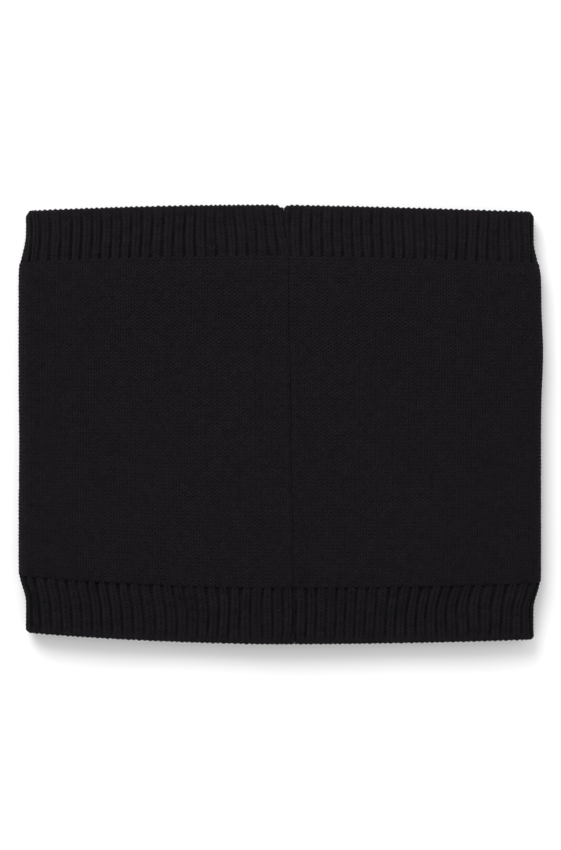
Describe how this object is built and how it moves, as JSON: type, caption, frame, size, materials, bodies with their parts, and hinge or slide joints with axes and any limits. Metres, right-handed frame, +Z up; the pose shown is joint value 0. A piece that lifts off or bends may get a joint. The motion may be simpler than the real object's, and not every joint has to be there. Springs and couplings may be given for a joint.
{
  "type": "neck gaiter",
  "caption": "Knitted neck gaiter lying flat: a jersey tube closed by a centre seam, with a ribbed cuff at each end, worn over the neck and chin.",
  "frame": {"origin": "on the surface the gaiter lies on, under the middle of its flat outline", "axes": "+X across the width, +Y towards the top cuff, +Z up through the thickness, out of the face with the centre seam"},
  "size_m": [0.262, 0.219, 0.0138],
  "materials": {
    "jersey_knit": "black wool-blend jersey, matt with a fine surface halo",
    "rib_knit": "black wool-blend one by one rib, matt",
    "joining_yarn": "black plied yarn, matt",
    "label_satin": "black woven satin, soft sheen"
  },
  "bodies": {
    "root": {"body_panel": "jersey_knit", "top_rib_cuff": "rib_knit", "bottom_rib_cuff": "rib_knit", "top_linking_thread": "joining_yarn", "bottom_linking_thread": "joining_yarn", "centre_seam_thread": "joining_yarn", "care_label": "label_satin"}
  },
  "joints": []
}
